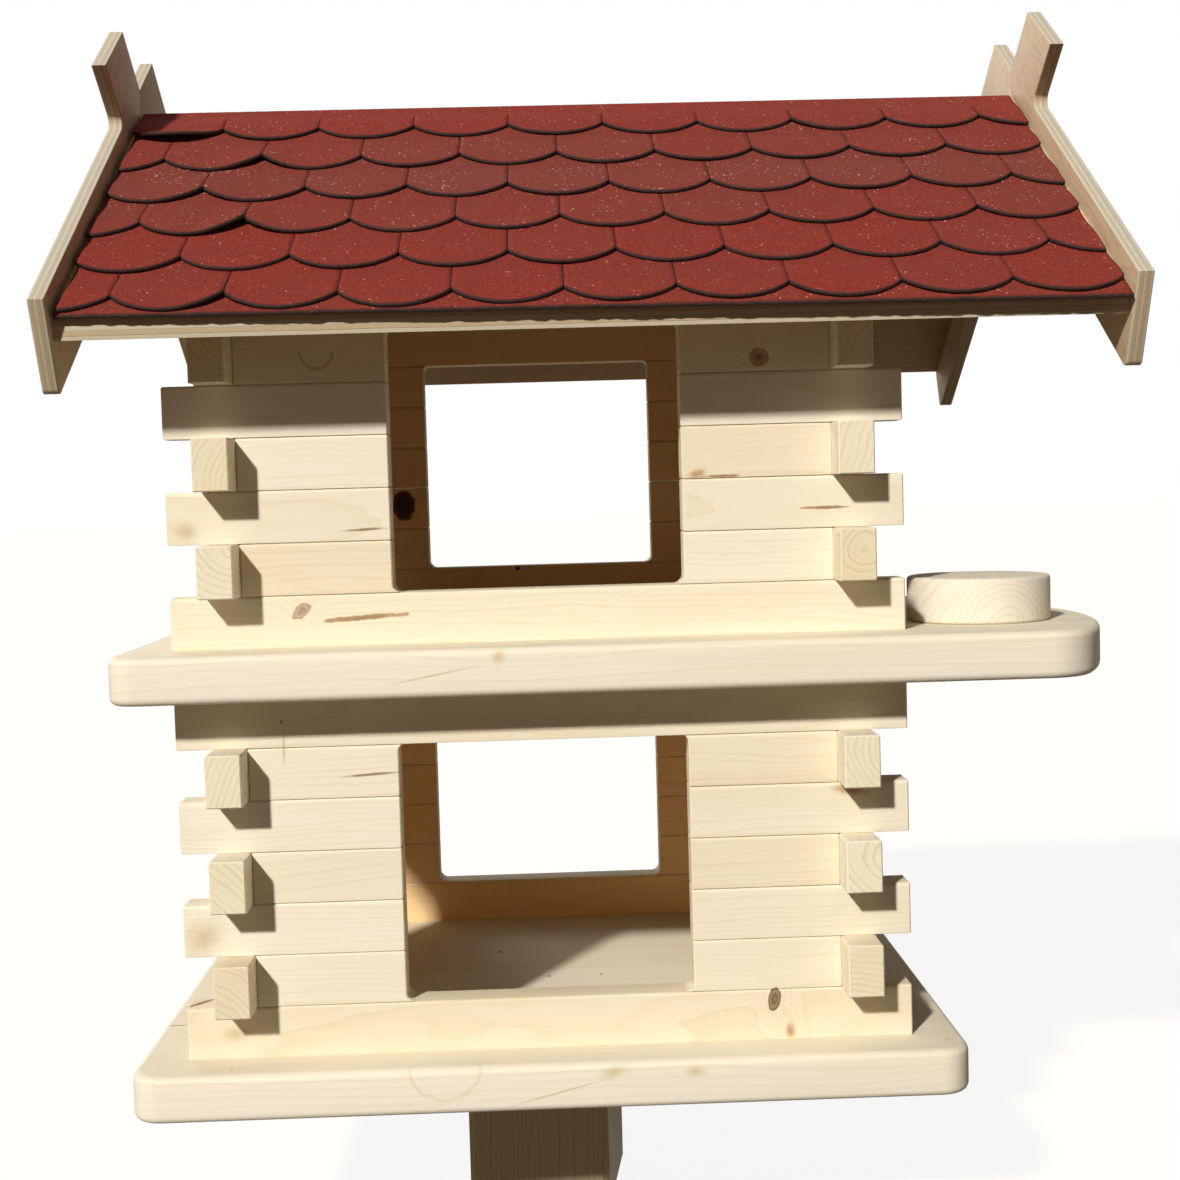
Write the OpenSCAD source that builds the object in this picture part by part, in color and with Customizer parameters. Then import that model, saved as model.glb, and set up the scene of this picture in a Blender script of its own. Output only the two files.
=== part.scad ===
// Two-storey bird feeder house: log walls, a balcony plate with a round perch block,
// a shingled gable roof that lifts off, and the top of the post that it stands on.
// Millimetres, +Z up, +X to the right seen from the front, +Y to the back.
// The origin is the centre of the post's sawn foot.

/* [Logs] */
// Height of one log, which is also the height of one course
log_h = 31; // [24:1:40]
// Thickness of a log, front to back
log_t = 21; // [16:1:28]
// Rounding of the logs' long edges
log_round = 1.6; // [0.5:0.1:4]
// Open joint between two courses
joint_gap = 0.1; // [0.05:0.05:0.5]
// Length of the front and rear logs, over their sawn ends
wall_l = 434; // [380:1:520]
// Depth of the house over the outer faces of the front and rear walls
wall_d = 332; // [280:1:400]
// How far the front and rear logs run past the side walls
end_x = 21; // [10:1:40]
// How far the side logs run past the front and rear walls
end_y = 24; // [10:1:40]

/* [Windows] */
// Width of the front and rear windows
window_w = 172; // [120:1:200]
// Width of the windows in the side walls
side_window_w = 90; // [60:1:120]
// Radius of the windows' routed corners
window_r = 5; // [2:0.5:12]

/* [Plates] */
// Thickness of the base and balcony boards
plate_t = 28; // [22:1:36]
// How far the base board runs past the walls
base_rim = 30; // [26:1:60]
// Corner radius of both boards
plate_r = 18; // [6:1:26]
// Rounding of the boards' top and bottom edges
plate_round = 3; // [1:0.5:6]
// How far the balcony board runs past the front and rear walls
balcony_front = 37; // [28:1:60]
// How far the balcony board runs past the left log ends
balcony_left = 32; // [10:1:60]
// How far the balcony board runs past the right log ends
balcony_right = 134; // [120:1:180]
// Radius of the balcony board's bowed right end
nose_r = 240; // [220:1:300]
// Distance from the front edge to the furthest point of the bowed end
nose_in = 130; // [110:1:170]
// Radius where the bowed end turns into the straight front edge
nose_corner_r = 34; // [10:1:50]

/* [Perch block] */
// Diameter of the round block on the balcony
block_d = 88; // [60:1:100]
// Height of the round block
block_h = 28; // [20:1:40]
// Space between the right log ends and the block
block_gap = 14; // [4:1:25]
// Distance from the balcony's front edge to the block's centre
block_in = 95; // [70:1:140]

/* [Post] */
// Width of the square post
post_w = 95; // [70:1:120]
// Length of post below the base board
post_len = 120; // [60:1:300]
// Turn of the post about its own axis, clockwise from above, in degrees
post_turn = 8; // [0:1:15]
// Bevel along the post's edges
post_bevel = 4; // [1:0.5:10]
// How far right of the post's centre the house is centred
house_shift = 6; // [0:1:15]

/* [Roof] */
// Pitch of both slopes, in degrees
pitch = 34; // [30:1:38]
// Height of the gable panels at the wall faces
heel_h = 4; // [2:1:20]
// Thickness of the roof panels
panel_t = 12; // [6:0.5:15]
// Horizontal overhang of the roof panels past the wall faces
eave_out = 66; // [50:1:90]
// Overhang of the gable boards' outer faces past the left log ends
roof_left = 51; // [30:1:80]
// Overhang of the gable boards' outer faces past the right log ends
roof_right = 122; // [30:1:125]
// Thickness of the gable panels that carry the roof
gable_t = 12; // [9:1:18]
// Height of the battens that keep the roof from sliding
batten_h = 30; // [24:1:40]
// Thickness of those battens
batten_t = 15; // [10:1:20]
// How far the battens reach down between the walls
batten_drop = 16; // [10:1:20]
// Play between the battens and the walls
lift_play = 1; // [0.5:0.1:2]

/* [Gable boards] */
// Thickness of the plywood gable boards
board_t = 9; // [6:0.5:15]
// Width of a gable board, square to its slope
board_w = 55; // [45:1:70]
// How far the board stands above the roof panels' underside
board_up = 26; // [19:0.5:28]
// How far the board's foot reaches past the wall face
board_out = 81; // [60:1:100]
// Lean of the foot's front edge, in degrees from upright
foot_lean = 24; // [10:1:35]
// Rounding of the foot's tip
foot_r = 4; // [1:0.5:8]
// Rounding in the corner under each horn
horn_r = 6; // [2:0.5:10]
// Length of the horns, square to the opposite slope
horn = 46; // [20:1:70]

/* [Shingles] */
// Thickness of one layer of shingle
felt_t = 3; // [2:0.1:4]
// Width of one scalloped tab
tab_w = 62; // [50:0.5:80]
// Depth of the tab's round lower end
tab_sag = 16; // [8:0.5:20]
// Place of one tab's middle in the lowest course, right of the house's centre
tab_start = -12; // [-31:1:31]
// Distance between the lower ends of two courses
exposure = 46; // [40:0.5:50]
// Height over which a course lies on the one below
felt_lap = 20; // [18:0.5:24]
// How far the starter strip hangs past the eave
felt_out = 10; // [0:0.5:12]
// Set-back of the lowest tabs from the starter strip's edge
felt_back = 3.5; // [2:0.5:10]
// Play between the shingles and the gable boards
felt_play = 1.5; // [0.5:0.5:5]

/* [Dowels and nails] */
// Diameter of the dowels through the log corners
dowel_d = 8; // [6:0.5:10]
// Depth that the corner dowels enter each board
dowel_in = 11; // [6:1:12]
// Diameter of the two dowels in the post's top
post_dowel_d = 12; // [8:1:20]
// Depth of the post dowels in the base board
post_dowel_up = 18; // [10:1:20]
// Depth of the post dowels in the post
post_dowel_down = 35; // [20:1:50]
// Distance between the two post dowels
post_dowel_gap = 44; // [24:1:48]
// Depth of the block's dowel in the block and in the balcony board
block_dowel_in = 13; // [8:1:16]
// Shank diameter of the gable boards' nails
nail_d = 2; // [1.5:0.1:3]
// Length of those nails under the head
nail_l = 32; // [20:1:40]
// Head diameter of those nails
nail_head_d = 4.5; // [3.5:0.1:6]
// Head thickness of those nails
nail_head_t = 1.2; // [0.8:0.1:2]
// Play round every dowel and nail
fit_play = 0.1; // [0.05:0.05:0.3]

/* [Hidden] */
$fn = 48;
COURSES = 7;
CORNER_STEPS = 6;
TAB_STEPS = 8;
// Least distance of a scallop's point from the strip's end, in steps
MIN_STEP = 0.1;
NAILS_PER_BOARD = 4;
CREAM = [0.93, 0.86, 0.70];
PALE = [0.90, 0.81, 0.63];
PLY = [0.80, 0.68, 0.48];
RED = [0.62, 0.20, 0.17];
STEEL = [0.65, 0.65, 0.66];
cx = house_shift;
base_z = post_len;
floor_z = base_z + plate_t;
storey_h = COURSES * log_h;
balcony_z = floor_z + storey_h;
upper_z = balcony_z + plate_t;
wall_top = upper_z + storey_h;
storey_zs = [floor_z, upper_z];
// Half sizes of the house on plan: log ends, outer faces and inner faces
half_l = wall_l / 2;
side_x = half_l - end_x;
inner_x = side_x - log_t;
face_y = wall_d / 2;
inner_y = face_y - log_t;
corner_x = side_x - log_t / 2;
corner_y = face_y - log_t / 2;
bore_d = dowel_d + 2 * fit_play;
post_bore_d = post_dowel_d + 2 * fit_play;
window_z = log_h;
window_h = (COURSES - 2) * log_h;
// Balcony board and the block on it
balcony_y = face_y + balcony_front;
balcony_end = half_l + balcony_right;
nose_y = -balcony_y + nose_in;
block_x = half_l + block_gap + block_d / 2;
block_y = -balcony_y + block_in;
// Roof: heights of the panels' underside, and the ends of the panels
slope_c = cos(pitch);
slope_s = sin(pitch);
heel_z = wall_top + heel_h;
roof_x0 = -half_l - roof_left;
roof_x1 = half_l + roof_right;
panel_x0 = roof_x0 + board_t;
panel_x1 = roof_x1 - board_t;
eave_y = -face_y - eave_out;
deck_l = -eave_y / slope_c;
felt_l = deck_l + felt_out;
rows = 5;
ridge_s = felt_back + rows * exposure;
gable_x = inner_x - lift_play;
nail_bore_d = nail_d + 2 * fit_play;

// Height of the line that lies a distance off the panels' underside, at a place y in front of the ridge
function slope_z(y, off) = heel_z + (y + face_y) * tan(pitch) + off / slope_c;
// Points of an arc round [x, y] from angle a to angle b
function arc(x, y, r, a, b, steps) = [for (i = [0 : steps])
    let (t = a + (b - a) * i / steps) [x + r * cos(t), y + r * sin(t)]];
// Outline of a rectangle with round corners
function round_rect(x0, y0, x1, y1, r) = concat(
    arc(x1 - r, y1 - r, r, 0, 90, CORNER_STEPS), arc(x0 + r, y1 - r, r, 90, 180, CORNER_STEPS),
    arc(x0 + r, y0 + r, r, 180, 270, CORNER_STEPS), arc(x1 - r, y0 + r, r, 270, 360, CORNER_STEPS));
// Radius of the tabs' lower ends, the middle of one tab in row i, and the rise of the scalloped edge at x
tab_r = (tab_w * tab_w / 4 + tab_sag * tab_sag) / (2 * tab_sag);
function tab_phase(i) = tab_start + (i % 2) * tab_w / 2;
function tab_edge(x, phase) = let (k = round((x - phase) / tab_w), d = x - phase - k * tab_w)
    tab_r - sqrt(max(0, tab_r * tab_r - d * d));

STOREYS = ["lower", "upper"];

// Plain board with round corners and softened top and bottom edges
module board(outline, inset, z) {
    translate([0, 0, z + plate_round]) linear_extrude(plate_t - 2 * plate_round) polygon(outline);
    for (side = [0, 1]) translate([0, 0, z + side * (plate_t - plate_round)])
        linear_extrude(plate_round) polygon(inset);
}

// Upright bores at the four log corners
module corner_bores(z, h) {
    for (sx = [-1, 1], sy = [-1, 1]) translate([cx + sx * corner_x, sy * corner_y, z])
        cylinder(d = bore_d, h = h);
}

function base_outline(in) = round_rect(cx - half_l - base_rim + in, -face_y - base_rim + in,
    cx + half_l + base_rim - in, face_y + base_rim - in, plate_r - in);

module base_plate() {
    color(CREAM) difference() {
        board(base_outline(0), base_outline(plate_round / 2), base_z);
        corner_bores(floor_z - dowel_in, dowel_in + 1);
        post_dowel_places() translate([0, 0, base_z - 1]) cylinder(d = post_bore_d, h = post_dowel_up + 1);
    }
}

// Balcony outline: straight front, left and rear edges, and a bowed right end that sweeps back to the wall
left_arc_x = -half_l - balcony_left + plate_r;
arc_y = balcony_y - plate_r;
nose_cx = balcony_end - nose_r;
front_reach = sqrt(pow(nose_r - nose_corner_r, 2) - pow(nose_y + balcony_y - nose_corner_r, 2));
front_turn = atan2(-(nose_y + balcony_y - nose_corner_r), front_reach);
rear_x = half_l + balcony_left;
rear_corner = [rear_x - plate_r, arc_y];
rear_dist = norm([rear_corner[0] - nose_cx, rear_corner[1] - nose_y]);
rear_turn = atan2(rear_corner[1] - nose_y, rear_corner[0] - nose_cx) - acos((nose_r - plate_r) / rear_dist);
function balcony_outline(in) = [for (p = concat(
    arc(left_arc_x, -arc_y, plate_r - in, 180, 270, CORNER_STEPS),
    arc(nose_cx + front_reach, nose_corner_r - balcony_y, nose_corner_r - in, -90, front_turn, CORNER_STEPS),
    arc(nose_cx, nose_y, nose_r - in, front_turn, rear_turn, 4 * CORNER_STEPS),
    arc(rear_corner[0], rear_corner[1], plate_r - in, rear_turn, 90, CORNER_STEPS),
    arc(left_arc_x, arc_y, plate_r - in, 90, 180, CORNER_STEPS))) [p[0] + cx, p[1]]];

module balcony_plate() {
    color(CREAM) difference() {
        board(balcony_outline(0), balcony_outline(plate_round / 2), balcony_z);
        corner_bores(balcony_z - 1, dowel_in + 1);
        corner_bores(upper_z - dowel_in, dowel_in + 1);
        translate([cx + block_x, block_y, upper_z - block_dowel_in])
            cylinder(d = bore_d, h = block_dowel_in + 1);
    }
}

module post_dowel_places() {
    for (s = [-1, 1]) rotate(-post_turn) translate([s * post_dowel_gap / 2, 0, 0]) children();
}

module post() {
    h = post_w / 2;
    b = post_bevel;
    color(PALE) difference() {
        rotate(-post_turn) linear_extrude(post_len) polygon([
            [-h + b, -h], [h - b, -h], [h, -h + b], [h, h - b],
            [h - b, h], [-h + b, h], [-h, h - b], [-h, -h + b]]);
        post_dowel_places() translate([0, 0, post_len - post_dowel_down])
            cylinder(d = post_bore_d, h = post_dowel_down + 1);
    }
}

module post_dowels() {
    color(PALE) post_dowel_places() translate([0, 0, post_len - post_dowel_down])
        cylinder(d = post_dowel_d, h = post_dowel_down + post_dowel_up);
}

module perch_block() {
    r = block_d / 2;
    b = plate_round / 2;
    color(CREAM) translate([cx + block_x, block_y, upper_z]) difference() {
        rotate_extrude()
            polygon([[0, 0], [r - b, 0], [r, b], [r, block_h - b], [r - b, block_h], [0, block_h]]);
        translate([0, 0, -1]) cylinder(d = bore_d, h = block_dowel_in + 1);
    }
}

module perch_dowel() {
    color(PALE) translate([cx + block_x, block_y, upper_z - block_dowel_in])
        cylinder(d = dowel_d, h = 2 * block_dowel_in);
}

// Log along X from x0 to x1 with its middle at y, and log along Y from y0 to y1 with its middle at x
module log_x(x0, x1, y, z) {
    translate([cx + x0, y, z]) rotate([90, 0, 90]) linear_extrude(x1 - x0)
        polygon(round_rect(-log_t / 2, 0, log_t / 2, log_h - joint_gap, log_round));
}
module log_y(y0, y1, x, z) {
    translate([cx + x, y1, z]) rotate([90, 0, 0]) linear_extrude(y1 - y0)
        polygon(round_rect(-log_t / 2, 0, log_t / 2, log_h - joint_gap, log_round));
}

// Window cuts through a storey whose lowest course starts at z
module front_window(z) {
    translate([cx, wall_d, z + window_z]) rotate([90, 0, 0]) linear_extrude(2 * wall_d)
        polygon(round_rect(-window_w / 2, 0, window_w / 2, window_h, window_r));
}
module side_window(z) {
    translate([cx - wall_l, 0, z + window_z]) rotate([90, 0, 90]) linear_extrude(2 * wall_l)
        polygon(round_rect(-side_window_w / 2, 0, side_window_w / 2, window_h, window_r));
}

// Whole log of a front or rear wall in an odd course, or of a side wall, which fits between them
module long_log(s, z) {
    color(CREAM) difference() {
        log_x(-half_l, half_l, s * corner_y, z);
        corner_bores(z - 1, log_h + 2);
    }
}
module side_long_log(s, z) {
    color(CREAM) log_y(-inner_y, inner_y, s * corner_x, z);
}

// Short logs of courses 2 to 6 between a front or rear window and the corner on side s
module front_short_logs(s, wall, z) {
    color(CREAM) for (course = [1 : COURSES - 2]) difference() {
        end = course % 2 == 0 ? half_l : inner_x;
        near = window_w / 2 - window_r;
        log_x(s > 0 ? near : -end, s > 0 ? end : -near, wall * corner_y, z + course * log_h);
        front_window(z);
        corner_bores(z, storey_h);
    }
}
module side_short_logs(s, wall, z) {
    color(CREAM) for (course = [1 : COURSES - 2]) difference() {
        end = course % 2 == 0 ? inner_y : face_y + end_y;
        near = side_window_w / 2 - window_r;
        log_y(s > 0 ? near : -end, s > 0 ? end : -near, wall * corner_x, z + course * log_h);
        side_window(z);
        corner_bores(z, storey_h);
    }
}

module corner_dowels(z, top) {
    color(PALE) for (sx = [-1, 1], sy = [-1, 1]) translate([cx + sx * corner_x, sy * corner_y, z - dowel_in])
        cylinder(d = dowel_d, h = dowel_in + storey_h + top);
}

// Roof panel of the front slope, or mirrored for the rear one: cut plumb at the eave and at the ridge
module roof_panel(s) {
    color(PLY) mirror([0, s > 0 ? 1 : 0, 0]) difference() {
        translate([cx + panel_x0, 0, 0]) rotate([90, 0, 90]) linear_extrude(panel_x1 - panel_x0) polygon([
            [eave_y, slope_z(eave_y, 0)], [0, slope_z(0, 0)],
            [0, slope_z(0, panel_t)], [eave_y, slope_z(eave_y, panel_t)]]);
        nail_places() cylinder(d = nail_bore_d, h = nail_l + 1);
    }
}

// Triangular panel on a side wall that carries the roof panels
module gable_panel(s) {
    x = s > 0 ? gable_x : -gable_x - gable_t;
    color(PLY) translate([cx + x, 0, 0]) rotate([90, 0, 90]) linear_extrude(gable_t) polygon([
        [-face_y, wall_top], [face_y, wall_top], [face_y, heel_z], [0, slope_z(0, 0)], [-face_y, heel_z]]);
}

module locating_battens() {
    l = inner_y - lift_play;
    z = wall_top + batten_h / 2 - batten_drop;
    color(PALE) for (s = [-1, 1]) translate([cx + s * (gable_x - batten_t / 2), 0, z])
        cube([batten_t, 2 * l, batten_h], center = true);
}

// Nail places on both ends of the front slope, each pointing into the panel from the board's outer face
module nail_places() {
    step = (-eave_y) / NAILS_PER_BOARD;
    for (i = [0 : NAILS_PER_BOARD - 1]) {
        y = eave_y + (i + 0.5) * step;
        z = slope_z(y, panel_t / 2);
        translate([cx + roof_x0, y, z]) rotate([0, 90, 0]) children();
        translate([cx + roof_x1, y, z]) rotate([0, -90, 0]) children();
    }
}

module gable_board_nails() {
    color(STEEL) for (s = [0, 1]) mirror([0, s, 0]) nail_places() {
        translate([0, 0, -nail_head_t]) cylinder(d = nail_head_d, h = nail_head_t);
        cylinder(d = nail_d, h = nail_l);
    }
}

// Gable board for the front slope: the top of its foot, then the lower edge, the horn and the corner under it
foot_top = [-face_y - board_out, slope_z(-face_y - board_out, board_up)];
low_off = board_up - board_w;
// Where the leaning front edge meets the lower edge
foot_drop = (foot_top[1] - slope_z(foot_top[0], low_off)) / (1 + tan(foot_lean) * tan(pitch));
foot_tip = [foot_top[0] + foot_drop * tan(foot_lean), foot_top[1] - foot_drop];
// Where the near slope's line at one offset crosses the far slope's line at another
function cross_y(near, far) = (far - near) / (2 * slope_s);
function cross_at(near, far) = let (y = cross_y(near, far)) [y, slope_z(y, near)];
horn_low = cross_at(board_up + horn, low_off);
horn_high = cross_at(board_up + horn, board_up);
horn_root = cross_at(board_up, low_off);
module gable_board_outline() {
    polygon(concat(
        [[0, slope_z(0, low_off)], [0, slope_z(0, board_up)], horn_high, horn_low],
        corner_arc(horn_low, horn_root, foot_top, horn_r),
        [foot_top],
        corner_arc(foot_top, foot_tip, [0, slope_z(0, low_off)], foot_r)));
}
// Rounding of the corner at b between the lines from a and to c
function unit(v) = v / norm(v);
function corner_arc(a, b, c, r) = let (
    u = unit(a - b), v = unit(c - b), half = acos(u * v) / 2,
    m = b + unit(u + v) * (r / sin(half)),
    p = b + u * (r / tan(half)) - m, q = b + v * (r / tan(half)) - m,
    t0 = atan2(p[1], p[0]), turn = (p[0] * q[1] - p[1] * q[0] > 0 ? 1 : -1) * (180 - 2 * half))
    arc(m[0], m[1], r, t0, t0 + turn, CORNER_STEPS);

module gable_board(sx, sy) {
    x = sx > 0 ? roof_x1 - board_t : roof_x0;
    color(PLY) mirror([0, sy > 0 ? 1 : 0, 0]) difference() {
        translate([cx + x, 0, 0]) rotate([90, 0, 90]) linear_extrude(board_t) gable_board_outline();
        nail_places() cylinder(d = nail_bore_d, h = nail_l + 1);
    }
}

// Moves from the slope's own frame, x along the eave, y up the slope and z off the deck, to its place
module on_slope(s) {
    mirror([0, s > 0 ? 1 : 0, 0])
        translate([cx, eave_y, slope_z(eave_y, panel_t)])
        rotate([pitch, 0, 0]) translate([0, -felt_out, 0]) children();
}

// Strip of shingle with scalloped tabs: it lies on the course below, bends down to the deck and runs on flat
module course_strip(s0, s1, phase) {
    x0 = panel_x0 + felt_play;
    x1 = panel_x1 - felt_play;
    step = tab_w / TAB_STEPS;
    first = ceil((x0 - phase) / step + MIN_STEP);
    last = floor((x1 - phase) / step - MIN_STEP);
    inner = [for (i = [first : last]) phase + i * step];
    intersection() {
        translate([x0, 0, 0]) rotate([90, 0, 90]) linear_extrude(x1 - x0) polygon([
            [s0, felt_t], [s0 + felt_lap, felt_t], [s0 + exposure, 0], [s1, 0],
            [s1, felt_t], [s0 + exposure, felt_t], [s0 + felt_lap, 2 * felt_t], [s0, 2 * felt_t]]);
        translate([0, 0, -1]) linear_extrude(3 * felt_t) polygon(concat(
            [for (x = concat([x0], inner, [x1])) [x, s0 + tab_edge(x, phase)]],
            [[x1, s1 + 1], [x0, s1 + 1]]));
    }
}

module shingle_course(i) {
    s0 = felt_back + i * exposure;
    color(RED) for (s = [-1, 1]) on_slope(s) course_strip(s0, s0 + exposure + felt_lap, tab_phase(i));
}

module starter_strips() {
    color(RED) for (s = [-1, 1]) on_slope(s) translate([panel_x0 + felt_play, 0, 0])
        cube([panel_x1 - panel_x0 - 2 * felt_play, felt_back + felt_lap, felt_t]);
}

// Top course, bent over the ridge so that it hangs down both slopes
module ridge_shingles() {
    top = felt_l + 2 * felt_t;
    color(RED) for (s = [-1, 1]) intersection() {
        on_slope(s) course_strip(ridge_s, top, tab_phase(rows));
        translate([cx - wall_l, s > 0 ? 0 : -wall_d, wall_top]) cube([2 * wall_l, wall_d, wall_d]);
    }
}

// The walls: one loop for both storeys, with s as the storey
for (s = [0, 1]) {
    z = storey_zs[s];
    top = z + (COURSES - 1) * log_h;
    n = STOREYS[s];
    long_log(-1, z);
    long_log(1, z);
    side_long_log(-1, z);
    side_long_log(1, z);
    long_log(-1, top);
    long_log(1, top);
    side_long_log(-1, top);
    side_long_log(1, top);
    front_short_logs(-1, -1, z);
    front_short_logs(1, -1, z);
    front_short_logs(-1, 1, z);
    front_short_logs(1, 1, z);
    side_short_logs(-1, -1, z);
    side_short_logs(1, -1, z);
    side_short_logs(-1, 1, z);
    side_short_logs(1, 1, z);
}
base_plate();
balcony_plate();
post();
perch_block();
corner_dowels(floor_z, dowel_in);  // lower_corner_dowels
corner_dowels(upper_z, 0);  // upper_corner_dowels
post_dowels();
perch_dowel();
roof_panel(-1);  // front_roof_panel
roof_panel(1);  // rear_roof_panel
gable_panel(-1);  // left_gable_panel
gable_panel(1);  // right_gable_panel
locating_battens();
gable_board(-1, -1);  // left_front_gable_board
gable_board(-1, 1);  // left_rear_gable_board
gable_board(1, -1);  // right_front_gable_board
gable_board(1, 1);  // right_rear_gable_board
gable_board_nails();
starter_strips();
shingle_course(0);  // shingle_course_1
shingle_course(1);  // shingle_course_2
shingle_course(2);  // shingle_course_3
shingle_course(3);  // shingle_course_4
shingle_course(4);  // shingle_course_5
ridge_shingles();
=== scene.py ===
"""Looks of the two-storey bird feeder house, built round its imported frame.

Metres, +Z up, +X to the right seen from the front, +Y to the back.
"""
import math
import random

import bpy
import bmesh
from mathutils import Matrix, Vector, noise


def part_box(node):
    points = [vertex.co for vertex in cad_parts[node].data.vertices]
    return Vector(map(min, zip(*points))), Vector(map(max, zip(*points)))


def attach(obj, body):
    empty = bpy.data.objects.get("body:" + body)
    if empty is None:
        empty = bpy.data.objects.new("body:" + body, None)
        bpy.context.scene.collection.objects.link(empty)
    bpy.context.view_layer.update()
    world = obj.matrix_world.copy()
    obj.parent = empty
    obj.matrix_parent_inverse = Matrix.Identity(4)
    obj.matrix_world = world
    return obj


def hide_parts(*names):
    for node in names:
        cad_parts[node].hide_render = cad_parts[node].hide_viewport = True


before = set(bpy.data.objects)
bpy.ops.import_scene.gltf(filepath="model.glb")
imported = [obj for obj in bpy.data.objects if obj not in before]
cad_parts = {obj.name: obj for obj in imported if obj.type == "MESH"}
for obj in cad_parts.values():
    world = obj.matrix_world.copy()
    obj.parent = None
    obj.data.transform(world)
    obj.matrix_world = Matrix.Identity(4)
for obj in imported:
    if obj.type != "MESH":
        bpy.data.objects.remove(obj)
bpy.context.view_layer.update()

MM = 0.001
PITCH = math.radians(34)
SLOPE_C, SLOPE_S = math.cos(PITCH), math.sin(PITCH)

# Sizes that the frame's own boxes give
base_low, base_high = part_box("base_plate")
balcony_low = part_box("balcony_plate")[0]
block_low, block_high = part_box("perch_block")
panel_low, panel_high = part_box("front_roof_panel")
felt_low, felt_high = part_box("shingle_course_1")
wall_low, wall_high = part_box("lower_rear_sill")
side_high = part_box("lower_right_sill")[1]
centre_x = (base_low.x + base_high.x) / 2
# Faces of the walls, in millimetres from the origin or from the centre line
REAR, INSIDE = wall_high.y / MM, wall_low.y / MM
FRONT = -REAR
SIDE = (side_high.x - centre_x) / MM

# Sizes and tones of the woodwork's looks
LOG_TOP_ROUND = 1.6 * MM
LOG_FOOT_ROUND = 0.3 * MM
END_ROUND = 0.7 * MM
PLATE_STEP = 3 * MM
PLATE_ROUND = 4.5 * MM
BLOCK_ROUND = 2.2 * MM
BLOCK_SIDES = 96
BLOCK_TONE = 0.2
POST_ROUND = 0.8 * MM
POST_TONE = 0.3
PLY_T = 9 * MM
PLIES = 5
PANEL_T = 12 * MM
PLY_ROUND = 0.5 * MM
GABLE_ROUND = 0.4 * MM
GABLE_TONE = 0.6
BATTEN_ROUND = 1 * MM
# Widths of the glued staves, in millimetres
STAVE_W, BATTEN_STAVE_W = 82, 40
NAIL_R = 1 * MM
NAIL_HEAD_T = 1.2 * MM
NAIL_SIDES = 20

# Sizes of the shingles' looks
FELT_T = 2.3 * MM
TAB_W = 62 * MM
TAB_SAG = 16 * MM
TAB_START = -12 * MM
EXPOSURE = 46 * MM
FELT_LAP = 20 * MM
FELT_OUT = 10 * MM
FELT_BACK = 3.5 * MM
FELT_SKEW = 2.5 * MM
ROWS = 5
SLIT = 0.35 * MM
END_RAGGED = 2.5 * MM
RIDGE_BEND = 9 * MM
RIDGE_ROLL = 2.4 * MM
RIDGE_CUTS = 6

SEED = 34
rng = random.Random(SEED)
# noise_vector starts from the clock unless it is seeded
noise.seed_set(SEED)


# Shader building

# Share of its written colour that a surface gives back: the key light makes up for it on the lit sides
GIVEN_BACK = 0.85


def srgb(red, green, blue):
    """Linear colour of a surface that renders as an 8-bit screen colour on its lit side."""
    def linear(c):
        c /= 255
        return GIVEN_BACK * (c / 12.92 if c <= 0.04045 else ((c + 0.055) / 1.055) ** 2.4)
    return (linear(red), linear(green), linear(blue), 1)


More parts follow.
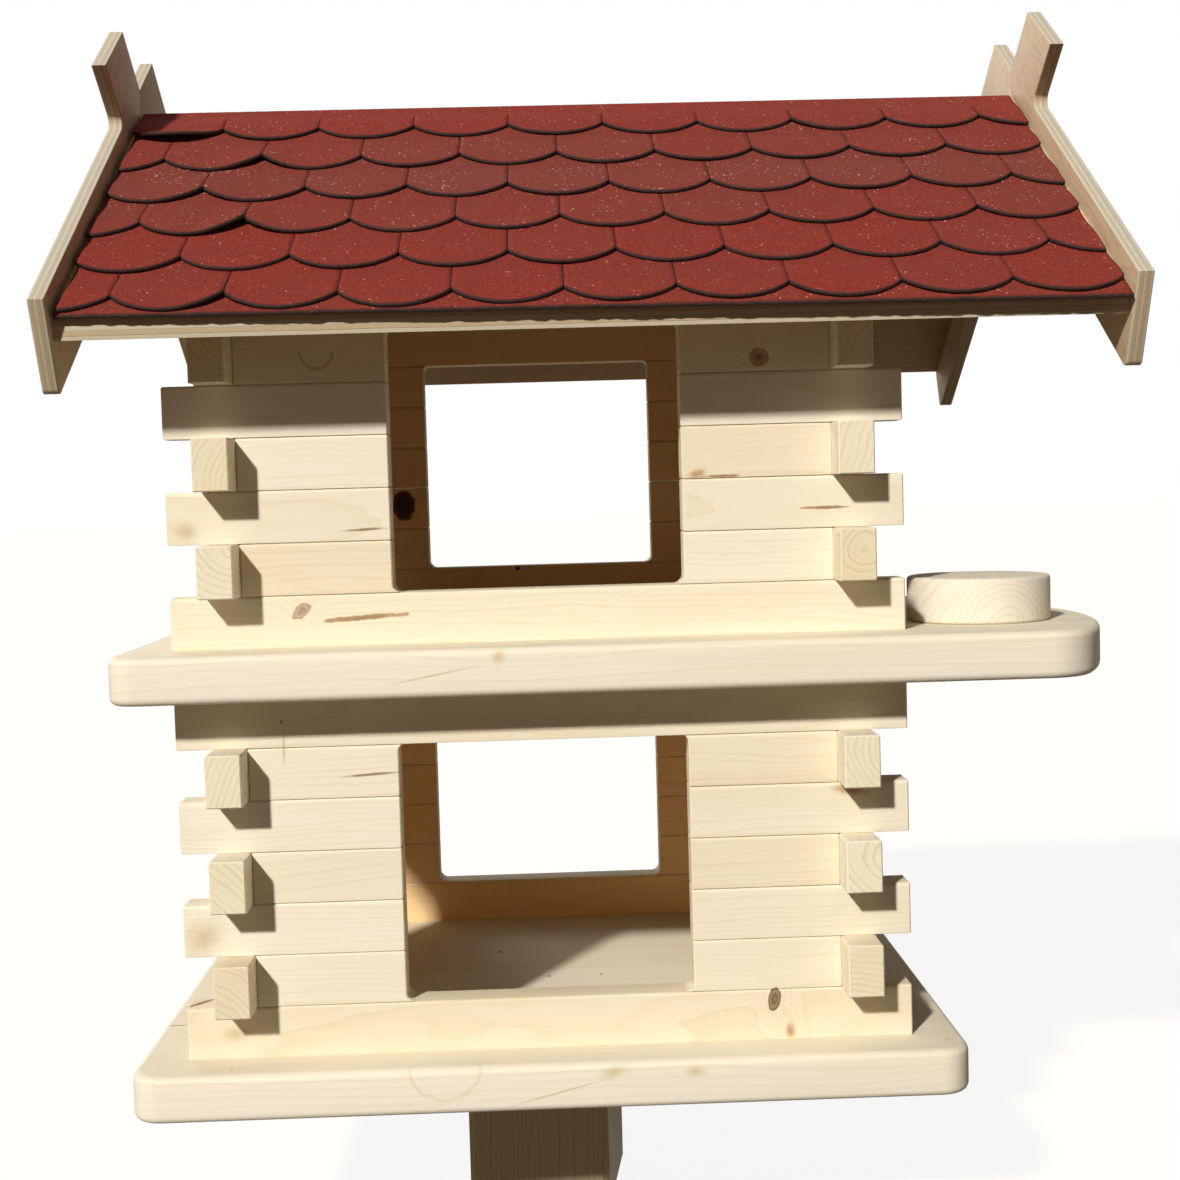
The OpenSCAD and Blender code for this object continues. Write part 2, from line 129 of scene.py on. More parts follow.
class Graph:
    """The node tree of a material with that name, or of the world."""

    def __init__(self, name, owner=None):
        self.owner = owner or bpy.data.materials.new(name)
        self.owner.use_nodes = True
        self.tree = self.owner.node_tree
        self.tree.nodes.clear()

    def node(self, kind, values=(), **settings):
        made = self.tree.nodes.new("ShaderNode" + kind)
        for key, value in settings.items():
            setattr(made, key, value)
        for key, value in dict(values).items():
            if isinstance(value, bpy.types.NodeSocket):
                self.tree.links.new(value, made.inputs[key])
            else:
                made.inputs[key].default_value = value
        return made

    def math(self, operation, a, b=0.0, c=0.0, clamp=False):
        return self.node("Math", {0: a, 1: b, 2: c}, operation=operation, use_clamp=clamp).outputs[0]

    def add(self, a, b):
        return self.math("ADD", a, b)

    def less(self, a, b):
        return self.math("SUBTRACT", a, b)

    def times(self, a, b):
        return self.math("MULTIPLY", a, b)

    def vector(self, operation, a, b=(0, 0, 0)):
        made = self.node("VectorMath", {0: a, 1: b}, operation=operation)
        return made.outputs["Value" if operation == "LENGTH" else "Vector"]

    def stretch(self, place, factors):
        return self.vector("MULTIPLY", place, factors)

    def part(self, vector, axis):
        return self.node("SeparateXYZ", {0: vector}).outputs[axis]

    def noise(self, place, detail=2.0, roughness=0.5, colour=False):
        values = {"Vector": place, "Scale": 1.0, "Detail": detail, "Roughness": roughness}
        return self.node("TexNoise", values).outputs[1 if colour else 0]

    def ramp(self, value, stops):
        made = self.node("ValToRGB", {0: value})
        elements = made.color_ramp.elements
        while len(elements) < len(stops):
            elements.new(0.5)
        for element, (position, colour) in zip(elements, stops):
            element.position = position
            element.color = colour if isinstance(colour, tuple) else (colour, colour, colour, 1)
        return made.outputs[0]

    def mix(self, share, a, b, blend="MIX"):
        return self.node("Mix", {0: share, 6: a, 7: b}, data_type="RGBA", blend_type=blend).outputs[2]

    def span(self, value, low, high, to_high=1.0):
        """Smooth step from 0 at low to to_high at high."""
        values = {"Value": value, "From Min": low, "From Max": high, "To Min": 0.0, "To Max": to_high}
        return self.node("MapRange", values, interpolation_type="SMOOTHSTEP").outputs[0]

    def place(self):
        """Place on the object, in millimetres."""
        return self.stretch(self.node("TexCoord").outputs["Object"], (1 / MM, 1 / MM, 1 / MM))

    def upward(self):
        """How far a face looks up: 1 for a top face, 0 for a plumb one and -1 for an underside."""
        return self.part(self.node("NewGeometry").outputs["True Normal"], 2)

    def direct_rays(self):
        """1 for the camera's, glossy and transmission rays, and 0 for the light between surfaces."""
        rays = self.node("LightPath").outputs
        seen = self.math("MAXIMUM", rays["Is Camera Ray"], rays["Is Glossy Ray"])
        return self.math("MAXIMUM", seen, rays["Is Transmission Ray"])

    def attribute(self, name, output="Vector"):
        return self.node("Attribute", attribute_name=name).outputs[output]

    def finish(self, colour, roughness, height, bump, distance=0.4 * MM, **sockets):
        normal = self.node("Bump", {"Strength": bump, "Distance": distance, "Height": height}).outputs[0]
        values = {"Base Color": colour, "Roughness": roughness, "Normal": normal}
        values.update({key.replace("_", " "): value for key, value in sockets.items()})
        self.node("OutputMaterial", {0: self.node("BsdfPrincipled", values).outputs[0]})
        return self.owner


# Tints of the woods: a darker log, dust on top faces, painted shade on the faces inside the house and on
# the roof's underside, and the plywood's sawn edges that face up, sideways and down, with painted shade on
# those facing down
TONE_TINT = (0.86, 0.74, 0.52, 1)
DUST_TINT = (0.86, 0.85, 0.82, 1)
INSIDE_SHADE_TINT = (1.08, 0.82, 0.55, 1)
SOFFIT_SHADE_TINT = (0.56, 0.44, 0.26, 1)
EDGE_TOP_TINT = (0.95, 0.96, 0.965, 1)
EDGE_TINT = (0.95, 0.89, 0.79, 1)
EDGE_FOOT_SHADE_TINT = (0.86, 0.84, 0.8, 1)
# Strength of the dust, and the depths behind the outer faces where the painted shade inside starts and is
# full
TOP_DUST = 0.8
INSIDE_FROM, INSIDE_FULL = 0.8, 2.4

# Marks in the wood

MARK_STOPS = {
    "knot": [(0, srgb(186, 156, 122)), (0.35, srgb(164, 130, 98)), (0.6, srgb(210, 184, 150)),
             (0.85, srgb(176, 142, 108)), (1, srgb(220, 196, 160))],
    "plug": [(0, srgb(158, 134, 104)), (0.4, srgb(112, 84, 58)), (0.65, srgb(164, 138, 106)),
             (0.9, srgb(104, 76, 50)), (1, srgb(150, 118, 82))],
    "round": [(0, srgb(92, 66, 44)), (0.35, srgb(150, 112, 74)), (0.55, srgb(196, 160, 116)),
              (0.8, srgb(176, 138, 94)), (1, srgb(214, 184, 140))],
    "dark": [(0, srgb(74, 48, 28)), (0.5, srgb(56, 36, 22)), (0.85, srgb(96, 62, 36)),
             (1, srgb(150, 108, 68))],
    "pocket": [(0, srgb(154, 120, 86)), (0.5, srgb(178, 144, 106)), (1, srgb(214, 184, 142))],
    "flame": [(0, srgb(176, 132, 88)), (0.5, srgb(206, 166, 118)), (1, srgb(226, 196, 150))],
    "blotch": [(0, srgb(212, 184, 138)), (1, srgb(230, 208, 168))],
    "crack": [(0, srgb(122, 92, 60)), (1, srgb(180, 150, 110))],
    "line": [(0, srgb(208, 182, 140)), (1, srgb(226, 204, 166))],
    "cup": [(0, srgb(190, 160, 118)), (1, srgb(190, 160, 118))],
    "trace": [(0, srgb(222, 200, 162)), (1, srgb(222, 200, 162))],
}
# Radii at which a mark starts to fade and is gone, its full strength, and how ragged its outline is
MARK_EDGE = {
    "knot": (0.8, 1.12, 0.9, 0.9), "round": (0.85, 1.1, 0.9, 0.5), "dark": (0.9, 1.05, 1.0, 0.5),
    "pocket": (0.75, 1.0, 0.95, 1.1), "flame": (0.3, 1.1, 0.85, 0.7), "blotch": (0.0, 1.1, 0.7, 0.5),
    "crack": (0.4, 1.0, 0.85, 0.5), "line": (0.2, 1.0, 0.7, 0.2), "cup": (0.03, 0.14, 0.6, 0.15),
    "trace": (0.02, 0.09, 0.32, 0.15), "plug": (0.9, 1.08, 0.95, 0.5),
}
SWIRLING = ("knot", "round", "dark", "flame", "plug")


def paint_mark(g, place, rough, kind, middle, radii, tilt=0, axis="Y_AXIS"):
    """Mask and colour of one mark, with its distance in its own radii.

    tilt turns a mark on the front up to the right, in degrees, or one on a top face clockwise about Z_AXIS.
    """
    offset = g.vector("SUBTRACT", place, middle)
    if tilt:
        turn = {"Vector": offset, "Angle": math.radians(tilt)}
        offset = g.node("VectorRotate", turn, rotation_type=axis).outputs[0]
    scaled = g.stretch(offset, [1 / r for r in radii])
    fade, gone, strength, ragged = MARK_EDGE[kind]
    reach = g.add(g.vector("LENGTH", scaled), g.times(rough, ragged))
    if kind in ("cup", "trace"):
        mask = g.span(g.math("ABSOLUTE", g.less(reach, 1)), gone, fade, strength)
        mask = g.times(mask, g.span(g.part(scaled, 2), 0.1, -0.1))
    else:
        mask = g.span(reach, gone, fade, strength)
    return mask, g.ramp(reach, MARK_STOPS[kind]), reach


def wood(name, pale, dark, ring=3.2, contrast=0.36, marks=(), stave=0, end=False, walls=False):
    """Softwood with growth rings round a pith that runs along the first axis of the grain coordinates.

    With stave, the grain comes from the place on the object, a glued stave of that width at a time.
    With walls, the faces inside the house, apart from their tops, are tinted browner than the outer ones as
    painted shade.
    """
    g = Graph(name)
    place = g.place()
    tone = g.attribute("tone", "Fac")
    if stave:
        count = g.math("FLOOR", g.math("DIVIDE", g.part(place, 1), stave))
        pick = g.node("TexWhiteNoise", {"W": count}, noise_dimensions="1D")
        tone = pick.outputs[0]
        shift = g.node("VectorMath", {0: pick.outputs[1], 1: (900, 2 * stave, 60), 2: (0, -stave, 24)},
                       operation="MULTIPLY_ADD").outputs[0]
        middle = g.node("CombineXYZ", {1: g.times(count, stave)}).outputs[0]
        grain = g.vector("ADD", g.vector("SUBTRACT", place, middle), shift)
    else:
        grain = g.attribute("grain")

    masks = []
    swirl = 0.0
    if marks:
        rough = g.less(g.noise(g.stretch(place, (0.22, 0.22, 0.22)), 3), 0.5)
    for mark in marks:
        mask, tint, reach = paint_mark(g, place, rough, *mark)
        masks.append((mask, tint))
        if mark[0] in SWIRLING:
            bend = g.math("POWER", math.e, g.times(g.times(reach, reach), -0.22))
            swirl = g.add(swirl, g.times(bend, 9.0))

    warp = g.noise(g.stretch(grain, (0.005, 0.02, 0.02)), 2, colour=True)
    warp = g.stretch(g.vector("SUBTRACT", warp, (0.5, 0.5, 0.5)), (0, 18, 18))
    across = g.stretch(g.vector("ADD", grain, warp), (0, 1, 1))
    ripple = g.times(g.noise(g.stretch(grain, (0.02, 0.12, 0.12)), 3), 3.0)
    years = g.add(g.add(g.vector("LENGTH", across), ripple), swirl)
    years = g.math("DIVIDE", years, ring)
    late = g.ramp(g.math("FRACT", years), [(0, 0.0), (0.45, 0.05), (0.85, 0.6), (0.95, 1.0), (1, 0.1)])
    year = g.node("TexWhiteNoise", {"W": g.math("FLOOR", years)}, noise_dimensions="1D").outputs[0]
    late = g.times(late, g.math("MULTIPLY_ADD", year, 0.85, 0.15))
    fibre = g.noise(g.stretch(grain, (0.03, 1.5, 1.5)), 4, 0.6)
    cloud = g.noise(g.stretch(grain, (0.004, 0.03, 0.03)), 3)

    colour = g.mix(g.math("MULTIPLY", late, contrast, clamp=True), pale, dark)
    colour = g.mix(g.span(fibre, 0.5, 0.85, 0.25), colour, dark)
    colour = g.mix(g.span(cloud, 0.45, 0.8, 0.28), colour, srgb(236, 212, 170))
    colour = g.mix(g.times(tone, 0.4), colour, TONE_TINT, "MULTIPLY")
    upward = g.upward()
    colour = g.mix(g.span(upward, 0.3, 0.9, TOP_DUST), colour, DUST_TINT, "MULTIPLY")
    # Painted shade: the wall faces inside the house, apart from their tops, are tinted a warm brown
    if walls:
        away_y = g.math("ABSOLUTE", g.part(place, 1))
        away_x = g.math("ABSOLUTE", g.less(g.part(place, 0), centre_x / MM))
        inside_y = g.span(away_y, REAR - INSIDE_FROM, REAR - INSIDE_FULL)
        inside_x = g.span(away_x, SIDE - INSIDE_FROM, SIDE - INSIDE_FULL)
        inside = g.times(g.times(inside_y, inside_x), g.span(upward, 0.9, 0.3))
        colour = g.mix(inside, colour, INSIDE_SHADE_TINT, "MULTIPLY")
    height = g.less(g.times(fibre, 0.6), g.times(late, 0.5))
    if end:
        saw = g.noise(g.stretch(place, (0.5, 0.5, 2.4)), 2)
        colour = g.mix(g.span(saw, 0.45, 0.75, 0.25), colour, srgb(206, 182, 142))
        height = g.add(height, saw)
    for mask, tint in masks:
        colour = g.mix(mask, colour, tint)
    return g.finish(colour, 0.62, height, 0.25, Specular_IOR_Level=0.15)


def plywood_face(name, pale, dark):
    """Rotary-cut veneer with long flame-shaped contour lines, with painted shade darkening the faces that
    look down, such as the roof's underside.
    """
    g = Graph(name)
    grain = g.attribute("grain")
    tone = g.attribute("tone", "Fac")
    hill = g.noise(g.stretch(grain, (0.006, 0.035, 0)), 2)
    lines = g.math("FRACT", g.times(hill, 16))
    lines = g.ramp(lines, [(0, 0.0), (0.5, 0.2), (0.85, 1.0), (1, 0.0)])
    fibre = g.noise(g.stretch(grain, (0.03, 1.3, 1.3)), 4, 0.65)
    stain = g.noise(g.stretch(grain, (0.02, 0.04, 0.04)), 3)
    colour = g.mix(g.times(lines, 0.35), pale, dark)
    colour = g.mix(g.span(fibre, 0.5, 0.8, 0.4), colour, dark)
    colour = g.mix(g.span(stain, 0.5, 0.75, 0.3), colour, srgb(196, 178, 150))
    colour = g.mix(g.times(tone, 0.3), colour, srgb(226, 200, 164), "MULTIPLY")
    upward = g.upward()
    # Painted shade: faces that look down, such as the roof's underside, are darkened to a deep brown
    colour = g.mix(g.span(upward, -0.3, -0.7), colour, SOFFIT_SHADE_TINT, "MULTIPLY")
    return g.finish(colour, 0.6, fibre, 0.3, Specular_IOR_Level=0.15)


def plywood_edge(name):
    """The sawn edge of the plywood: long-grain plies pale, cross-grain plies browner, thin dark glue lines.

    The weather has left the edges that face up greyer; the others are browner, and the ones that face down
    are darkened further as painted shade.
    """
    g = Graph(name)
    grain = g.attribute("grain")
    sway = g.noise(g.stretch(grain, (0.05, 0.05, 0.2)), 2)
    ply = g.times(g.add(g.part(grain, 2), g.times(sway, 0.5)), PLIES / (PLY_T / MM))
    within = g.math("FRACT", ply)
    odd = g.math("GREATER_THAN", g.math("FRACT", g.times(ply, 0.5)), 0.5)
    fibre = g.noise(g.stretch(grain, (0.1, 0.1, 3)), 3)
    pores = g.noise(g.stretch(grain, (0.9, 0.9, 1.2)), 3)
    pale = g.mix(fibre, srgb(220, 214, 198), srgb(208, 197, 174))
    brown = g.mix(pores, srgb(196, 176, 146), srgb(212, 196, 170))
    colour = g.mix(odd, pale, brown)
    glue = g.ramp(within, [(0, 1.0), (0.09, 0.0), (0.91, 0.0), (1, 1.0)])
    colour = g.mix(g.times(glue, 0.35), colour, srgb(128, 98, 70))
    upward = g.upward()
    colour = g.mix(g.span(upward, 0.3, 0.7), colour, EDGE_TOP_TINT, "MULTIPLY")
    colour = g.mix(g.span(upward, 0.7, 0.3), colour, EDGE_TINT, "MULTIPLY")
    # Painted shade on the sawn edges that face down
    colour = g.mix(g.span(upward, -0.3, -0.7), colour, EDGE_FOOT_SHADE_TINT, "MULTIPLY")
    height = g.less(g.times(pores, odd), glue)
    return g.finish(colour, 0.7, height, 0.4, Specular_IOR_Level=0.15)


def shingle_top(name):
    """Brick-red mineral granules, with odd pale ones in patches, and painted shade darkening them towards
    the cut edge.

    The third grain coordinate is the distance from the tab's lower edge.
    """
    g = Graph(name)
    place = g.place()
    grain = g.attribute("grain")
    tone = g.attribute("tone", "Fac")
    grit = g.node("TexVoronoi", {"Vector": place, "Scale": 1.2, "Randomness": 1.0})
    pick = g.node("SeparateColor", {0: grit.outputs["Color"]})
    reds = [(0, srgb(118, 41, 33)), (0.3, srgb(132, 47, 37)), (0.75, srgb(142, 53, 41)),
            (1, srgb(156, 66, 52))]
    colour = g.ramp(pick.outputs[0], reds)
    cloud = g.noise(g.stretch(place, (0.02, 0.05, 0.05)), 4)
    colour = g.mix(g.span(cloud, 0.4, 0.75, 0.3), colour, srgb(114, 54, 44))
    colour = g.mix(g.times(tone, 0.6), colour, srgb(114, 67, 57))
    patch = g.noise(g.stretch(place, (0.03, 0.06, 0.06)), 3)
    rare = g.less(0.998, g.times(g.span(patch, 0.42, 0.72, 0.06), g.add(tone, 0.14)))
    sparkle = g.math("GREATER_THAN", pick.outputs[1], rare)
    shine = g.mix(pick.outputs[2], srgb(150, 84, 72), srgb(214, 178, 164))
    colour = g.mix(sparkle, colour, shine)
    # Painted shade: the felt is darkened within a few millimetres of the tabs' cut edge
    ragged = g.noise(g.stretch(place, (0.5, 0.5, 0.5)), 3)
    edge_shade = g.span(g.add(g.part(grain, 2), g.times(ragged, 2.0)), 3.4, 0.9, 0.8)
    colour = g.mix(edge_shade, colour, srgb(70, 40, 34))
    height = g.times(grit.outputs["Distance"], -1.0)
    return g.finish(colour, 0.85, height, 0.5, 0.5 * MM, Specular_IOR_Level=0.15)


def shingle_edge(name):
    """Cut edge of the bitumen sheet."""
    g = Graph(name)
    grit = g.noise(g.stretch(g.place(), (0.8, 0.8, 0.8)), 4)
    colour = g.mix(g.span(grit, 0.45, 0.75), srgb(44, 30, 24), srgb(92, 50, 40))
    return g.finish(colour, 0.8, grit, 0.5, Specular_IOR_Level=0.3)


def steel(name):
    """Drawn wire, with fine scratches."""
    g = Graph(name)
    scratch = g.noise(g.stretch(g.place(), (0.4, 3, 3)), 4)
    roughness = g.math("MULTIPLY_ADD", scratch, 0.25, 0.25)
    colour = g.mix(scratch, srgb(150, 150, 150), srgb(190, 190, 188))
    return g.finish(colour, roughness, scratch, 0.1, Metallic=1.0)


# Marks on each wall: kind, middle and half sizes in millimetres, tilt in degrees and the axis of the tilt
MARKS = {
    "front": [
        ("knot", (-134, FRONT, 415), (6.4, 9, 4), 38),
        ("pocket", (-98, FRONT, 409.6), (29, 8, 1.9), 3.5),
        ("flame", (101, FRONT, 488.5), (7, 8, 3.4), 12),
        ("pocket", (116, FRONT, 487), (12, 8, 0.9)),
        ("pocket", (176, FRONT, 466.7), (18, 8, 1.1)),
        ("round", (139, FRONT, 556), (6, 9, 6)),
        ("crack", (-95, FRONT, 461.5), (17, 8, 1.1), 2),
        ("blotch", (-200, FRONT, 463), (11, 9, 9)),
        ("cup", (-120, FRONT, 566), (9.5, 12, 10)),
        ("plug", (140, FRONT, 172.7), (3.8, 9, 7.5), -10),
        ("plug", (-205, -154, 179), (9.5, 2, 4), -51.5, "Z_AXIS"),
        ("flame", (149, FRONT, 153.5), (4, 8, 6.5)),
        ("blotch", (-183, FRONT, 163), (11, 8, 7)),
        ("blotch", (-199, FRONT, 222), (17, 12, 14), 30),
        ("crack", (-96, FRONT, 316.5), (23, 8, 1.2), 3),
        ("line", (-147.5, FRONT, 334), (1.4, 8, 15)),
        ("crack", (-148.5, FRONT, 349.5), (1.3, 8, 2)),
        ("flame", (188, FRONT, 298), (14, 8, 4), -8),
    ],
    "rear": [("dark", (-98, INSIDE, 473), (9, 26, 12)), ("dark", (-12, INSIDE, 422), (1.8, 9, 1.8))],
    "left": [],
    "right": [],
}


SCATTER_SEED = 5


def scatter_marks():
    """Knots and cracks on the walls that the photograph doesn't show."""
    wild = random.Random(SCATTER_SEED)
    kinds = ("knot", "round", "knot", "dark", "crack", "pocket")
    for wall in ("rear", "left", "right"):
        for i, kind in enumerate(kinds):
            z = wild.uniform(0.05, 0.95) * (panel_low.z - base_high.z) / MM + base_high.z / MM
            along = wild.uniform(0.5, 0.85) * (1 if i % 2 else -1)
            r = wild.uniform(3.2, 6.5)
            long = wild.uniform(14, 30)
            size = (long, 0.8) if kind == "crack" else (long, 1.6) if kind == "pocket" else (r, r * 0.8)
            if wall == "rear":
                middle, radii = (along * SIDE, REAR, z), (size[0], 9, size[1])
            else:
                way = -1 if wall == "left" else 1
                middle = (centre_x / MM + way * SIDE, along * REAR, z)
                radii = (9, size[0], size[1])
            MARKS[wall].append((kind, middle, radii))


scatter_marks()
# The two boards' front edges and the base board's top, in millimetres
EDGE = base_low.y / MM
RAIL = balcony_low.y / MM
TOP = base_high.z / MM
# Marks on the two boards
BOARD_MARKS = [
    ("trace", (-57, EDGE, TOP + 1), (21, 12, 20)),
    ("line", (9, EDGE, 131), (42, 9, 0.9), 14),
    ("blotch", (41, EDGE, 142), (12, 9, 5), 14),
    ("blotch", (89, EDGE, 141), (9, 9, 5)),
    ("blotch", (-18, RAIL, 388), (6, 9, 6)),
    ("line", (-56, RAIL, 378), (36, 9, 0.9), 10.5),
    ("pocket", (-233, -97, TOP), (8.5, 1.3, 4)),
    ("blotch", (242, -176, TOP), (5, 3.5, 6)),
    ("dark", (-32, 50, TOP), (1.6, 1.6, 3)),
    ("dark", (4, -15.5, TOP), (1.4, 1.4, 3)),
    ("dark", (40, -15, TOP), (1.3, 1.3, 3)),
    ("crack", (-182, -186, TOP), (1.1, 1.1, 3)),
]

PALE, DARK = srgb(253, 244, 222), srgb(230, 206, 160)
SPRUCE = {wall: wood(f"spruce_log_{wall}", PALE, DARK, marks=MARKS[wall], walls=True) for wall in MARKS}
SPRUCE_END = wood("spruce_log_end", srgb(253, 243, 212), srgb(204, 174, 124), 3.9, 0.52, end=True)
BOARD = wood("spruce_board", srgb(250, 241, 219), DARK, 4.4, 0.34, marks=BOARD_MARKS, stave=STAVE_W)
BATTEN = wood("planed_softwood", srgb(240, 222, 184), srgb(206, 170, 118), 3.0, stave=BATTEN_STAVE_W)
POST = wood("post_wood", srgb(222, 206, 174), srgb(180, 148, 104), 3.4, 0.7)
BLOCK = wood("block_wood", srgb(247, 239, 221), srgb(222, 196, 152), 3.6, 0.55)
PLY_FACE = plywood_face("plywood_face", srgb(234, 211, 177), srgb(196, 162, 124))
PLY_EDGE = plywood_edge("plywood_edge")
FELT = shingle_top("red_shingle")
FELT_EDGE = shingle_edge("bitumen_edge")
STEEL = steel("nail_steel")


# Reading the frame

def joined_mesh(node):
    """The CAD node's mesh as a bmesh, with its faces joined where they meet."""
    mesh = bmesh.new()
    mesh.from_mesh(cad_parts[node].data)
    bmesh.ops.remove_doubles(mesh, verts=mesh.verts, dist=0.001 * MM)
    return mesh


def islands(node):
    """Boxes of the separate solids in a CAD node, lowest first."""
    mesh = joined_mesh(node)
    left = set(mesh.verts)
    boxes = []
    while left:
        stack = [left.pop()]
        found = []
        while stack:
            vert = stack.pop()
            found.append(vert.co.copy())
            for edge in vert.link_edges:
                other = edge.other_vert(vert)
                if other in left:
                    left.remove(other)
                    stack.append(other)
        low = Vector([min(p[i] for p in found) for i in range(3)])
        high = Vector([max(p[i] for p in found) for i in range(3)])
        boxes.append((low, high))
    mesh.free()
    return sorted(boxes, key=lambda box: (round(box[0].z, 5), box[0].x, box[0].y))


def outline_of(node, axis, value):
    """Outer outline of the CAD node's flat face in the plane axis = value, on the two other axes."""
    mesh = joined_mesh(node)
    flat = {f for f in mesh.faces if all(abs(v.co[axis] - value) < 0.01 * MM for v in f.verts)}
    links = {}
    for edge in mesh.edges:
        if sum(f in flat for f in edge.link_faces) == 1:
            for vert in edge.verts:
                links.setdefault(vert, []).append(edge.other_vert(vert))
    loops = []
    left = set(links)
    while left:
        here = min(left, key=lambda v: tuple(v.co))
        left.remove(here)
        loop = [here]
        while True:
            ahead = [v for v in links[loop[-1]] if v in left]
            if not ahead:
                break
            left.remove(ahead[0])
            loop.append(ahead[0])
        loops.append(loop)
    first, second = [i for i in range(3) if i != axis]
    outer = max(loops, key=lambda loop: max(v.co[first] for v in loop) - min(v.co[first] for v in loop))
    points = [Vector((v.co[first], v.co[second])) for v in outer]
    mesh.free()
    area = sum(a.x * b.y - a.y * b.x for a, b in zip(points, points[1:] + points[:1]))
    return points if area > 0 else points[::-1]


# Building meshes

class Shape:
    """Vertices and faces of one piece, with the grain coordinates and the tone of each vertex."""

    def __init__(self):
        self.points, self.faces, self.slots, self.grain, self.tone = [], [], [], [], []

    def vert(self, point, grain=(0, 0, 0), tone=0.0):
        self.points.append(tuple(point))
        self.grain.append(tuple(grain))
        self.tone.append(tone)
        return len(self.points) - 1

    def face(self, corners, slot=0):
        self.faces.append(corners)
        self.slots.append(slot)

    def tube(self, loops, slot=0):
        """Faces between closed loops of vertices."""
        count = len(loops[0])
        for low, high in zip(loops, loops[1:]):
            for i in range(count):
                j = (i + 1) % count
                self.face((low[i], low[j], high[j], high[i]), slot)

    def sheet(self, grid):
        """Faces between open columns of vertices."""
        for one, two in zip(grid, grid[1:]):
            for j in range(len(one) - 1):
                self.face((one[j], two[j], two[j + 1], one[j + 1]))

    def piece(self, name, body, nodes, slot, materials, sharp=35):
        """The shape as an object that rides on the body and stands for the CAD nodes."""
        mesh = bpy.data.meshes.new(name)
        mesh.from_pydata(self.points, [], self.faces)
        mesh.polygons.foreach_set("material_index", self.slots)
        grain = mesh.attributes.new("grain", "FLOAT_VECTOR", "POINT")
        grain.data.foreach_set("vector", [value for point in self.grain for value in point])
        tone = mesh.attributes.new("tone", "FLOAT", "POINT")
        tone.data.foreach_set("value", self.tone)
        fixed = bmesh.new()
        fixed.from_mesh(mesh)
        bmesh.ops.triangulate(fixed, faces=[f for f in fixed.faces if len(f.verts) > 4])
        bmesh.ops.recalc_face_normals(fixed, faces=fixed.faces)
        fixed.to_mesh(mesh)
        fixed.free()
        for material in materials:
            mesh.materials.append(material)
        mesh.shade_smooth()
        mesh.set_sharp_from_angle(angle=math.radians(sharp))
        made = bpy.data.objects.new(name, mesh)
        bpy.context.scene.collection.objects.link(made)
        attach(made, body)
        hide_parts(*nodes)
        return made


def arris(r, steps=4):
    """Points of a rounded arris at a foot, as (distance in from the side, height over the foot)."""
    turns = [math.pi / 2 * i / steps for i in range(steps + 1)]
    return [(r * (1 - math.sin(t)), r * (1 - math.cos(t))) for t in turns]


def inset(points, by):
    """Outline moved inward by that much at every corner."""
    moved = []
    for before, here, after in zip(points[-1:] + points[:-1], points, points[1:] + points[:1]):
        a, b = (here - before).normalized(), (after - here).normalized()
        normal = Vector((-a.y - b.y, a.x + b.x))
        scale = max(0.35, normal.length_squared / 2)
        moved.append(here + normal * (by / scale))
    return moved


# Insets smaller than this, in metres, are none
TINY = 1e-9


def prism(shape, outline, depth, place, grain, round_r=0.6 * MM, steps=3, tone=0.0, levels=0):
    """Slab on an outline, with rounded arrises.

    place(a, b, d) gives the world point at a, b on the outline's plane and d deep. grain(a, b, d) gives its
    grain coordinates. levels is the number of cuts between the arrises.
    """
    rings = arris(round_r, steps)
    middle = [(0, round_r + (depth - 2 * round_r) * i / (levels + 1)) for i in range(1, levels + 1)]
    rings = rings + middle + [(in_by, depth - d) for in_by, d in reversed(rings)]
    loops = []
    for in_by, d in rings:
        points = inset(outline, in_by) if in_by > TINY else outline
        loops.append([shape.vert(place(p.x, p.y, d), grain(p.x, p.y, d), tone) for p in points])
    shape.tube(loops, 1)
    shape.face(tuple(reversed(loops[0])))
    shape.face(tuple(loops[-1]))


def rectangle(a0, b0, a1, b1):
    return [Vector((a0, b0)), Vector((a1, b0)), Vector((a1, b1)), Vector((a0, b1))]


# Logs

# Heights of the points on a log's side as shares of its height, the distance between its cuts, and how far
# its sides sway
LOG_LEVELS = (0.09, 0.13, 0.17, 0.5, 0.83, 0.87, 0.91)
LOG_STATION = 28 * MM
LOG_SWAY = 0.12 * MM


def log_section(thick, height):
    """Half section of a log from the bottom to the top, as (z, half thickness)."""
    def corner(r):
        return [(up, thick / 2 - back) for back, up in arris(r)]

    side = [(height * share, thick / 2) for share in LOG_LEVELS]
    top = [(height - z, y) for z, y in reversed(corner(LOG_TOP_ROUND))]
    return corner(LOG_FOOT_ROUND) + side + top


